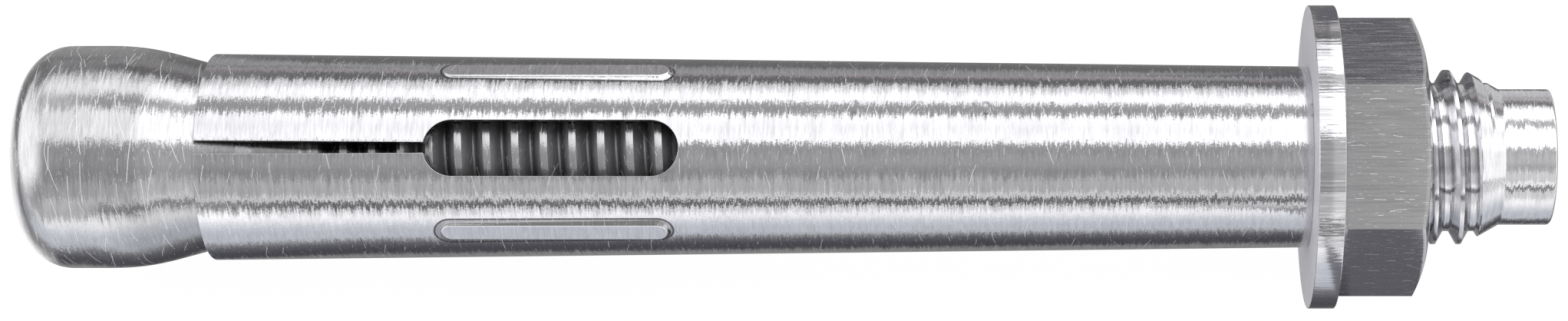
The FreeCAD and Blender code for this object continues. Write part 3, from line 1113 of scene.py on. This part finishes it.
def net(border, holes, step_x, step_angle):
    """Triangles between a border and some holes; all as (x, angle) with the angle in radians."""
    clear_of_edges = 0.16
    loops = [np.array([(x, angle * unroll_r) for x, angle in loop]) for loop in [border] + holes]
    coords, edges = [], []
    for loop in loops:
        start = len(coords)
        coords.extend(Vector(point) for point in loop)
        edges.extend((start + index, start + (index + 1) % len(loop))
                     for index in range(len(loop)))
    fixed = np.concatenate(loops)
    grid_x = np.arange(tip_x + 0.5, -0.3, step_x)
    grid_y = np.arange(step_angle, 2 * math.pi - step_angle / 2, step_angle) * unroll_r
    xs, ys = [a.ravel() for a in np.meshgrid(grid_x, grid_y)]
    keep = inside(loops[0], xs, ys)
    for loop in loops[1:]:
        keep &= ~inside(loop, xs, ys)
    xs, ys = xs[keep], ys[keep]
    near = np.array([np.min(np.hypot(fixed[:, 0] - x, fixed[:, 1] - y)) for x, y in zip(xs, ys)])
    xs, ys = xs[near > clear_of_edges], ys[near > clear_of_edges]
    coords.extend(Vector((x, y)) for x, y in zip(xs, ys))
    found, _, triangles, *_ = delaunay_2d_cdt(coords, edges, [], 0, 1e-5, True)
    spots = np.array([(v.x, v.y) for v in found])
    centres = np.array([spots[list(t)].mean(axis=0) for t in triangles])
    keep = inside(loops[0], centres[:, 0], centres[:, 1])
    for loop in loops[1:]:
        keep &= ~inside(loop, centres[:, 0], centres[:, 1])
    triangles = [tuple(t) for t, k in zip(triangles, keep) if k]
    return [(x, y / unroll_r) for x, y in spots], triangles


# %% The flat pattern's edges: the walls of windows and slits, the washer's end and the pads
pattern_points, pattern_faces, pattern_kinds = [], [], []


def add_points(points, kind):
    """kind is 0 where Blender finds the normal, 1 on the outer skin, 2 in the bore, and 10 plus
    a number on that pad's flat top."""
    start = len(pattern_points)
    pattern_points.extend(points)
    pattern_kinds.extend([kind] * len(points))
    return list(range(start, start + len(points)))


# over the rounded outer edge, down the wall and over the bore's edge: (how far the outline is
# grown, the share of the wall's depth, the depth at each edge, the kind); the edge is rounded in
# two steps, at a third and two thirds of a quarter circle
half_round = edge_round * 0.5
near_round = edge_round * 0.134
levels = [(edge_round, 0.0, 0.0, 1), (half_round, 0.0, near_round, 0),
          (near_round, 0.0, half_round, 0), (0.0, 0.0, edge_round, 0),
          (0.0, 0.12, edge_round, 0), (0.0, 0.88, edge_round, 0), (0.0, 1.0, edge_round, 0),
          (near_round, 1.0, half_round, 0), (half_round, 1.0, near_round, 0),
          (edge_round, 1.0, 0.0, 2)]
tip_rings = [ring_at(grown, share, depth) for grown, share, depth, kind in levels]
tip_ids = [add_points(ring, level[3]) for ring, level in zip(tip_rings, levels)]
for first, second in zip(tip_ids, tip_ids[1:]):
    bridge(pattern_faces, second, first, closed=False)

# the washer's end, with each ring as (x, depth, kind)
end_angles = np.linspace(0, 2 * math.pi, 121)
end_wall = outer_r(0) - inner_r(0)
end_levels = [(-0.05, 0.0, 1), (-0.015, 0.015, 0), (0.0, 0.05, 0), (0.0, 0.2, 0),
              (0.0, end_wall, 2)]
end_ids = [add_points([(x, angle, -depth) for angle in end_angles], kind)
           for x, depth, kind in end_levels]
for first, second in zip(end_ids, end_ids[1:]):
    bridge(pattern_faces, first, second, closed=False)

for number, rings in enumerate(pads):
    ring_kinds = [1] + [0] * (len(rings) - 2) + [10 + number]
    ids = [add_points(ring, kind) for ring, kind in zip(rings, ring_kinds)]
    for first, second in zip(ids, ids[1:]):
        bridge(pattern_faces, second, first)
    pattern_faces.append(tuple(ids[-1]))
print("rings at the tip", len(tip_ids), "at the washer", len(end_ids))


# %% The flat pattern's two skins
def skin(tip_ring, end_x, holes, step_x, step_angle, height_at, kind, flip):
    """A net between the tip's ring, the washer's end and the seam's two sides."""
    border = [(x, angle) for x, angle, _ in tip_ring]
    seam_x = np.linspace(border[-1][0], end_x, 60)[1:-1]
    border += [(x, 2 * math.pi) for x in seam_x]
    border += [(end_x, angle) for angle in end_angles[::-1]]
    border += [(x, 0.0) for x in seam_x[::-1]]
    spots, triangles = net(border, holes, step_x, step_angle)
    ids = add_points([(x, angle, height_at(x)) for x, angle in spots], kind)
    for triangle in triangles:
        corners = [ids[corner] for corner in triangle]
        pattern_faces.append(tuple(reversed(corners)) if flip else tuple(corners))
    print("skin", len(spots), "points", len(triangles), "triangles")


pad_feet = [[(x, angle) for x, angle, _ in rings[0]] for rings in pads]
skin(tip_rings[0], -0.05, pad_feet, 1.1, math.radians(3), lambda x: 0.0, 1, False)
skin(tip_rings[-1], 0.0, [], 1.8, math.radians(6), lambda x: inner_r(x) - outer_r(x), 2, True)
print("pattern", len(pattern_points), "points", len(pattern_faces), "faces")

# %% [markdown]
# Rolling is the rule that makes the tube: the distance across the pattern becomes an angle, and
# the height over the paper becomes a distance from the axis. The tree takes the tube's two end
# radii and its length as inputs, so another sleeve of this kind needs only new numbers.

# %% The rolling tree
def rolling_tree():
    tree = bpy.data.node_groups.new("roll_sleeve", "GeometryNodeTree")
    tree.interface.new_socket("Geometry", in_out="INPUT", socket_type="NodeSocketGeometry")
    tree.interface.new_socket("Geometry", in_out="OUTPUT", socket_type="NodeSocketGeometry")
    tree.interface.new_socket("Material", in_out="INPUT", socket_type="NodeSocketMaterial")
    for name in ("Radius at washer", "Radius at tip", "Length", "Seam angle"):
        tree.interface.new_socket(name, in_out="INPUT", socket_type="NodeSocketFloat")
    given = node(tree, "NodeGroupInput").outputs
    spot = node(tree, "GeometryNodeInputPosition").outputs[0]
    x, angle, height = node(tree, "ShaderNodeSeparateXYZ", {0: spot}).outputs
    widening = maths(tree, "SUBTRACT", given["Radius at tip"], given["Radius at washer"])
    share = maths(tree, "DIVIDE", times(tree, x, -1), given["Length"])
    radius = maths(tree, "ADD", maths(tree, "MULTIPLY_ADD", widening, share,
                                      given["Radius at washer"]), height)
    turned = maths(tree, "ADD", angle, given["Seam angle"])
    rolled = node(tree, "ShaderNodeCombineXYZ", {
        0: times(tree, x, mm),
        1: times(tree, radius, maths(tree, "COSINE", turned), mm),
        2: times(tree, radius, maths(tree, "SINE", turned), mm)}).outputs[0]
    placed = node(tree, "GeometryNodeSetPosition", {"Geometry": given["Geometry"],
                                                    "Position": rolled})
    merged = node(tree, "GeometryNodeMergeByDistance", {"Geometry": placed.outputs[0],
                                                        "Distance": 2e-6})
    real = node(tree, "GeometryNodeRealizeInstances", {"Geometry": merged.outputs[0]})
    dressed = node(tree, "GeometryNodeSetMaterial", {"Geometry": real.outputs[0],
                                                     "Material": given["Material"]})
    node(tree, "NodeGroupOutput", {"Geometry": dressed.outputs[0]})
    return tree


roll_rule = rolling_tree()

# %% Rolling the pattern into the sleeve
flat = new_piece("flat_pattern", pattern_points, pattern_faces, sleeve_zinc)
kind_layer = flat.data.attributes.new("surface_kind", "INT", "POINT")
kind_layer.data.foreach_set("value", pattern_kinds)
modifier = flat.modifiers.new("roll", "NODES")
modifier.node_group = roll_rule
sockets = input_names(roll_rule)
modifier[sockets["Material"]] = sleeve_zinc
modifier[sockets["Radius at washer"]] = washer_end_r
modifier[sockets["Radius at tip"]] = tip_r
modifier[sockets["Length"]] = sleeve_length
modifier[sockets["Seam angle"]] = seam
rolled = bpy.data.meshes.new_from_object(
    flat.evaluated_get(bpy.context.evaluated_depsgraph_get()))
bpy.data.objects.remove(flat)
sleeve = bpy.data.objects.new("slotted_sleeve", rolled)
bpy.context.scene.collection.objects.link(sleeve)
rolled.name = "slotted_sleeve"
tidy_mesh(sleeve, 1.5e-6)


# %% Normals that follow the tube, not the triangles
def set_sleeve_normals(mesh):
    for face in mesh.polygons:
        face.use_smooth = True
    lean = math.atan((tip_r - washer_end_r) / sleeve_length)
    kind = [item.value for item in mesh.attributes["surface_kind"].data]
    normals = []
    for vertex, which in zip(mesh.vertices, kind):
        x, y, z = vertex.co
        r = math.hypot(y, z)
        if which == 1:
            normals.append((math.sin(lean), y / r * math.cos(lean), z / r * math.cos(lean)))
        elif which == 2 and x > cone_root * mm:
            normals.append((0.0, -y / r, -z / r))
        elif which >= 10:
            angle = pad_angles[which - 10]
            normals.append((0.0, math.cos(angle), math.sin(angle)))
        else:
            normals.append((0.0, 0.0, 0.0))
    mesh.normals_split_custom_set_from_vertices(normals)


set_sleeve_normals(sleeve.data)
print("sleeve faces", len(sleeve.data.polygons))

# %% [markdown]
# ## The washer
#
# A plain stamped ring. Stamping rounds one edge of the rim a little more than the other, so the
# two differ. It is one more turned outline. Its two faces are duller than its sheared rim, so
# they get a coat of their own.

# %% Washer
washer_thickness = 1.77
washer_bore = 6.075
washer_rim = 20.85 / 2
bore_edge, near_edge, far_edge = 0.05, 0.06, 0.05
washer_outline = (
    [(0.0, washer_bore + bore_edge)]
    + arc((near_edge, washer_rim - near_edge), near_edge, 180, 90, 5)
    + arc((washer_thickness - far_edge, washer_rim - far_edge), far_edge, 90, 0, 4)
    + [(washer_thickness, washer_bore + bore_edge), (washer_thickness - bore_edge, washer_bore),
       (bore_edge, washer_bore), (0.0, washer_bore + bore_edge)])
washer = new_piece("plain_washer", *turn(washer_outline, 192), washer_zinc)
tidy_mesh(washer)
shade_smooth(washer, 40)
washer.data.materials.append(washer_face_zinc)
for face in washer.data.polygons:
    if abs(face.normal.x) > 0.9:
        face.material_index = 1

# %% [markdown]
# ## The nut
#
# A hexagon nut, chamfered on its outer end only. The chamfer is a flat cone, so it meets each
# flat in a shallow curve. Every column of the mesh runs up one flat to the height where the cone
# cuts it off, which draws that curve without any cutting. The corners between the flats are
# slightly rounded, and the bore carries the same thread as the stud.

# %% The nut's hexagon, with its corners slightly rounded
near_x, far_x = washer_thickness, 7.74
flat_r = 8.3
face_r = 7.88
chamfer = math.tan(math.radians(16.5))
corner_rounding = 0.02
thirty = math.radians(30)
flat_half = (flat_r - corner_rounding) * math.tan(thirty)
corner_r = (flat_r - corner_rounding) / math.cos(thirty)
hexagon = []
for side in range(6):
    normal_angle = math.radians(60 * side)
    for along in np.linspace(-flat_half, flat_half, 19):
        hexagon.append((math.cos(normal_angle) * flat_r - math.sin(normal_angle) * along,
                        math.sin(normal_angle) * flat_r + math.cos(normal_angle) * along))
    corner = normal_angle + thirty
    for turned in np.linspace(-thirty, thirty, 7)[1:-1]:
        angle = corner + turned
        hexagon.append((corner_r * math.cos(corner) + corner_rounding * math.cos(angle),
                        corner_r * math.sin(corner) + corner_rounding * math.sin(angle)))
count = len(hexagon)
print("hexagon columns", count)

# %% The nut's body, ring by ring from the washer to its outer face
nut_points, nut_faces = [], []
sink_r = 6.45


def nut_ring(place):
    """A ring of the hexagon's columns; place turns each one's radius into its (x, radius)."""
    start = len(nut_points)
    for y, z in hexagon:
        r = math.hypot(y, z)
        x, new_r = place(r)
        nut_points.append((x * mm, y / r * new_r * mm, z / r * new_r * mm))
    return list(range(start, start + count))


def cut_x(r):
    return far_x - (r - face_r) * chamfer


nut_rings = [
    # the face on the washer, out to a softened corner
    nut_ring(lambda r: (near_x, sink_r)), nut_ring(lambda r: (near_x, r - 0.1)),
    nut_ring(lambda r: (near_x + 0.03, r - 0.03)), nut_ring(lambda r: (near_x + 0.1, r)),
    # up the flats to the chamfer
    nut_ring(lambda r: (near_x + 0.3, r)), nut_ring(lambda r: (cut_x(r) - 0.25, r)),
    nut_ring(lambda r: (cut_x(r) - 0.06, r)), nut_ring(lambda r: (cut_x(r) - 0.005, r - 0.02)),
    # over the chamfer, and in over the outer face
    nut_ring(lambda r: (cut_x(r - 0.08), r - 0.08)),
    nut_ring(lambda r: (far_x - 0.02, face_r + 0.02 / chamfer)),
    nut_ring(lambda r: (far_x, face_r - 0.06)), nut_ring(lambda r: (far_x, 7.2)),
    nut_ring(lambda r: (far_x, sink_r)),
]
for first, second in zip(nut_rings, nut_rings[1:]):
    bridge(nut_faces, first, second)
print("points in the nut's body", len(nut_points))

# %% The nut's bore: a countersink at each end and the thread between them
nut_thread_r = 6.06
sink = 0.3
# the hexagon starts this many columns before the bore's first one
first_column = 12
for outer_ring, sink_x in ((nut_rings[0], near_x + sink), (nut_rings[-1], far_x - sink)):
    start = len(nut_points)
    for column in range(count):
        angle = 2 * math.pi * (column - first_column) / count
        nut_points.append((sink_x * mm, nut_thread_r * mm * math.cos(angle),
                           nut_thread_r * mm * math.sin(angle)))
    bridge(nut_faces, outer_ring, range(start, start + count))
bore = wind(nut_zinc, 16, count, pitch=thread_pitch, crest_radius=nut_thread_r, depth=0.78,
            crest_flat=0.285, start=near_x + sink, end=far_x - sink, start_run=0.3, end_run=0.3,
            phase=thread_phase)
nut = new_piece("hexagon_nut", *join((nut_points, nut_faces), bore), nut_zinc)
tidy_mesh(nut, 2e-6)
shade_smooth(nut, 35)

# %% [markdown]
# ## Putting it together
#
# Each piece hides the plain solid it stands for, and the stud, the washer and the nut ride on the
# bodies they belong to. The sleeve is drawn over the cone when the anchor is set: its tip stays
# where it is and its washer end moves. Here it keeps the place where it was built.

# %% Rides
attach(stud, "stud")
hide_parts("stud")
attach(washer, "washer")
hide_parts("washer")
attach(nut, "nut")
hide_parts("hex_nut")
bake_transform(sleeve)
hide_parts("expansion_sleeve")
